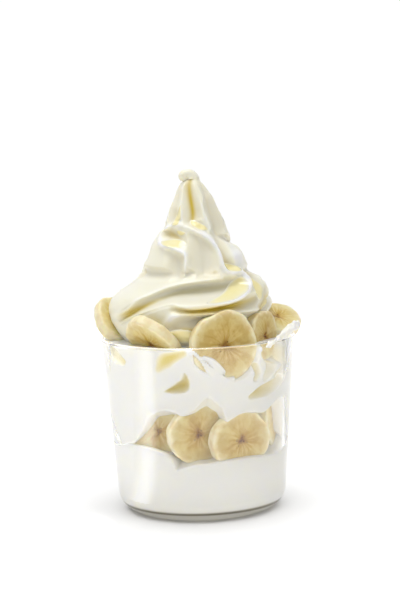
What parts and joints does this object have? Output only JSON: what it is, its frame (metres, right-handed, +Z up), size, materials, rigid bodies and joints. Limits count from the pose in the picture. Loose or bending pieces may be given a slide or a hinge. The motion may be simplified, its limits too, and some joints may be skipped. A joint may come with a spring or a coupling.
{
  "type": "frozen yogurt cup",
  "caption": "Clear tumbler filled with layers of yogurt and banana slices, topped with a tall soft-serve swirl; dessert prop.",
  "frame": {"origin": "centre of the tumbler's flat base, on the surface it stands on", "axes": "+Z up along the tumbler's axis, -Y towards the front as shown, +X to the viewer's right"},
  "size_m": [0.0942, 0.088, 0.1538],
  "materials": {
    "tumbler_glass": "clear pressed glass, smooth and glossy",
    "yogurt": "thick white yogurt, smooth and softly glossy",
    "soft_serve": "cream-white soft-serve frozen yogurt, smooth, with pale honey in its hollows",
    "banana": "cut banana flesh, moist, pale yellow with a browner centre"
  },
  "bodies": {
    "root": {"tumbler": "tumbler_glass", "lower_yogurt": "yogurt", "upper_yogurt": "yogurt", "swirl": "soft_serve", "lower_slice_1": "banana", "lower_slice_2": "banana", "lower_slice_3": "banana", "lower_slice_4": "banana", "lower_slice_5": "banana", "lower_slice_6": "banana", "lower_slice_7": "banana", "lower_slice_8": "banana", "lower_slice_9": "banana", "rim_slice_1": "banana", "rim_slice_2": "banana", "rim_slice_3": "banana", "rim_slice_4": "banana", "rim_slice_5": "banana", "rim_slice_6": "banana", "rim_slice_7": "banana", "rim_slice_8": "banana"}
  },
  "joints": []
}
